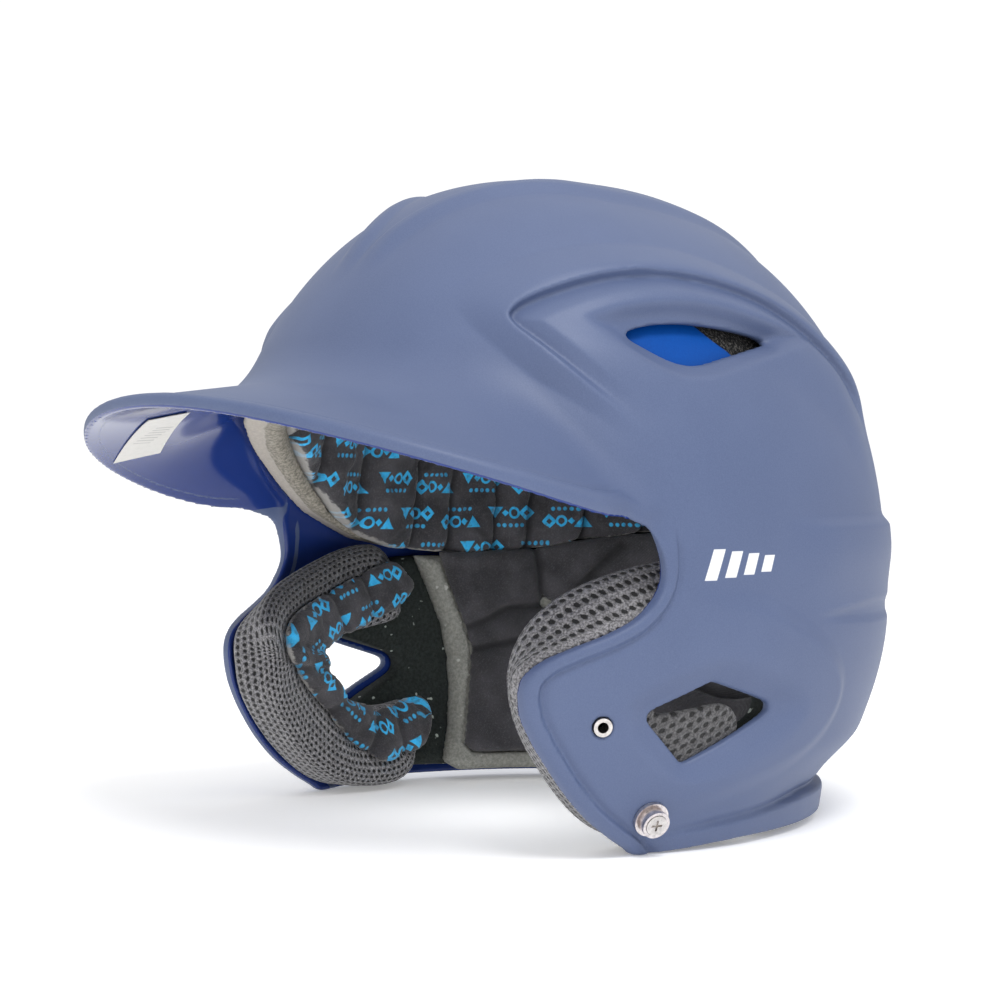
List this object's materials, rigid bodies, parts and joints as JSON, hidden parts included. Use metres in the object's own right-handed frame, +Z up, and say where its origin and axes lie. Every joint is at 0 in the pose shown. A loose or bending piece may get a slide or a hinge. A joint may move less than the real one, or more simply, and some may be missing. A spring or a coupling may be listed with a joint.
{
  "type": "batting helmet",
  "caption": "Moulded batting helmet with arched bill, padded ear flaps, side vents, foam liners, printed headband pad, mesh ear pads and screw-on chin-strap snap studs",
  "frame": {"origin": "on the ground under the middle of the helmet's bounding box, in its plane of symmetry", "axes": "+Z up to the crown, -Y forward along the bill, +X to the wearer's left"},
  "size_m": [0.22, 0.2731, 0.2096],
  "materials": {
    "shell_plastic": "matte outside, glossy inside",
    "grey_foam": "cut closed-cell foam",
    "dark_foam": "moulded bead foam",
    "soft_foam": "open-cell foam",
    "printed_fabric": "knit with a printed pattern",
    "black_fabric": "brushed knit",
    "spacer_mesh": "coarse spacer mesh",
    "hook_tape": "hook tape",
    "blue_plastic": "glossy",
    "label_paper": "satin film",
    "plated_steel": "zinc plated",
    "nickel_plate": "satin nickel"
  },
  "bodies": {
    "helmet": {"blank_label": "label_paper", "crown_comfort_pad": "printed_fabric", "crown_foam_liner": "dark_foam", "crown_hook_patch": "hook_tape", "ear_comfort_ring_left": "printed_fabric", "ear_comfort_ring_right": "printed_fabric", "ear_pad_core_left": "soft_foam", "ear_pad_core_right": "soft_foam", "ear_pad_mesh_left": "spacer_mesh", "ear_pad_mesh_right": "spacer_mesh", "face_guard_insert_left": "plated_steel", "face_guard_insert_right": "plated_steel", "front_foam_liner": "grey_foam", "front_hook_patches": "hook_tape", "headband_pad": "printed_fabric", "outer_shell": "shell_plastic", "rear_foam_liner": "dark_foam", "rear_hook_patches": "hook_tape", "rear_pad_backing": "grey_foam", "rear_pad_cover": "black_fabric", "side_foam_liner_left": "dark_foam", "side_foam_liner_right": "dark_foam", "snap_stud_left": "nickel_plate", "snap_stud_right": "nickel_plate", "snap_tee_nut_left": "plated_steel", "snap_tee_nut_right": "plated_steel", "snap_washer_left": "nickel_plate", "snap_washer_right": "nickel_plate", "vent_liner_left": "blue_plastic", "vent_liner_right": "blue_plastic"},
    "screw_left": {"snap_screw_left": "nickel_plate"},
    "screw_right": {"snap_screw_right": "nickel_plate"}
  },
  "joints": [
    {"name": "screw_left_turn", "type": "hinge", "parent": "helmet", "child": "screw_left", "pos_m": [0.09215, -0.018, 0.0119], "axis": [0.8946, -0.1962, -0.4015], "range_deg": [0, 360]},
    {"name": "screw_right_turn", "type": "hinge", "parent": "helmet", "child": "screw_right", "pos_m": [-0.09215, -0.018, 0.0119], "axis": [-0.8946, -0.1962, -0.4015], "range_deg": [0, 360]}
  ]
}
